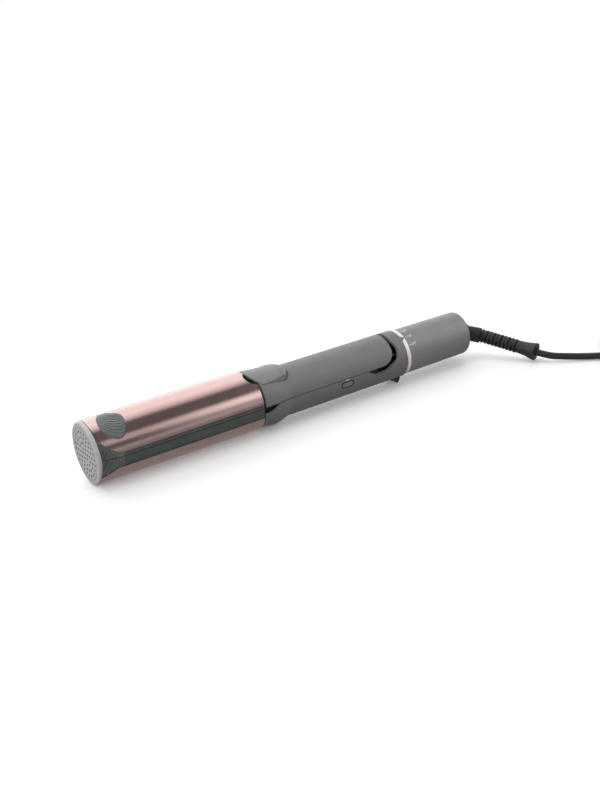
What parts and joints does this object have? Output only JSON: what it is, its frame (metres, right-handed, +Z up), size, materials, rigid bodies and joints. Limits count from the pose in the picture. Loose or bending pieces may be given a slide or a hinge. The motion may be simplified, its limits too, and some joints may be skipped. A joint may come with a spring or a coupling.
{
  "type": "hair straightener and curler",
  "caption": "Round-barrel hair straightener and curler with a sprung plate arm, lock slider, twist temperature dial and swivel cord with its plug put away in a coil.",
  "frame": {"origin": "middle of the tool's length and width, at the level it rests on; the cord, coil and plug are not counted", "axes": "+X along the tool from the tip to the dial and cord, +Y across, away from the power button, +Z up through the upper arm"},
  "size_m": [0.4577, 0.1404, 0.0407],
  "materials": {
    "rose_barrel": "polished, rose tinted",
    "pale_grey": "matte, pale warm grey",
    "scoop_grey": "matte, darker grey",
    "strip_grey": "matte, mid grey",
    "plate_coating": "smooth ceramic coating",
    "heater_ceramic": "ceramic block in a metal case",
    "handle_grey": "soft satin grey",
    "inner_black": "fine matte black",
    "screw_steel": "plain steel",
    "spring_steel": "drawn wire and strip",
    "board_green": "coated board",
    "lens": "clear frosted",
    "lead_insulation": "heat proof sleeve",
    "ring_rose": "bright rose plating",
    "cord_black": "smooth black",
    "tie_fabric": "woven black strap",
    "pin_brass": "nickel plated"
  },
  "bodies": {
    "main": {"tip_plate": "pale_grey", "lower_barrel_shell": "rose_barrel", "lower_tip_cap": "scoop_grey", "lower_plate_carrier": "strip_grey", "lower_heater_plate": "plate_coating", "lower_heating_element": "heater_ceramic", "lower_handle_shell": "handle_grey", "lower_inner_cover": "inner_black", "lower_cover_screws": "screw_steel", "hinge_bracket": "screw_steel", "bracket_screws": "screw_steel", "hinge_pin": "screw_steel", "hinge_spring": "spring_steel", "circuit_board": "board_green", "board_components": "inner_black", "switch_board": "board_green", "tact_switch": "inner_black", "button_bezel": "inner_black", "indicator_lens": "lens", "lower_heater_leads": "lead_insulation", "mains_leads": "lead_insulation", "thermistor": "inner_black", "accent_ring": "ring_rose", "core_tube": "inner_black", "core_screws": "screw_steel", "selector_board": "board_green", "strain_relief": "cord_black", "cord": "cord_black", "cord_coil": "cord_black", "cord_tail": "cord_black", "cord_tie": "tie_fabric", "plug_body": "cord_black", "plug_pins": "pin_brass"},
    "arm": {"upper_barrel_shell": "rose_barrel", "upper_tip_pad": "scoop_grey", "upper_tip_cap": "scoop_grey", "upper_plate_carrier": "strip_grey", "upper_heater_plate": "plate_coating", "upper_heating_element": "heater_ceramic", "thumb_pad": "handle_grey", "upper_handle_shell": "handle_grey", "upper_inner_cover": "inner_black", "upper_cover_screws": "screw_steel", "upper_heater_leads": "lead_insulation", "thermal_cutout": "inner_black"},
    "button": {"power_button": "pale_grey", "switch_plunger": "inner_black"},
    "lock": {"lock_slider": "inner_black"},
    "dial": {"temperature_dial": "handle_grey", "selector_wiper": "spring_steel"},
    "swivel": {"swivel_bush": "inner_black"}
  },
  "joints": [
    {"name": "arm_hinge", "type": "hinge", "parent": "main", "child": "arm", "pos_m": [0.064, 0, 0.0288], "axis": [0, 1, 0], "range_deg": [0, 15], "stiffness_Nm_per_rad": 0.16, "springref_deg": 15},
    {"name": "dial_turn", "type": "hinge", "parent": "main", "child": "dial", "pos_m": [0.114, 0, 0.0188], "axis": [1, 0, 0], "range_deg": [-22.5, 90]},
    {"name": "button_press", "type": "slide", "parent": "main", "child": "button", "axis": [0, 1, 0], "range_m": [0, 0.0007], "stiffness_N_per_m": 400},
    {"name": "lock_slide", "type": "slide", "parent": "main", "child": "lock", "axis": [-1, 0, 0], "range_m": [0, 0.0045]},
    {"name": "cord_swivel", "type": "hinge", "parent": "main", "child": "swivel", "pos_m": [0.14, 0, 0.0188], "axis": [1, 0, 0], "continuous": true}
  ]
}
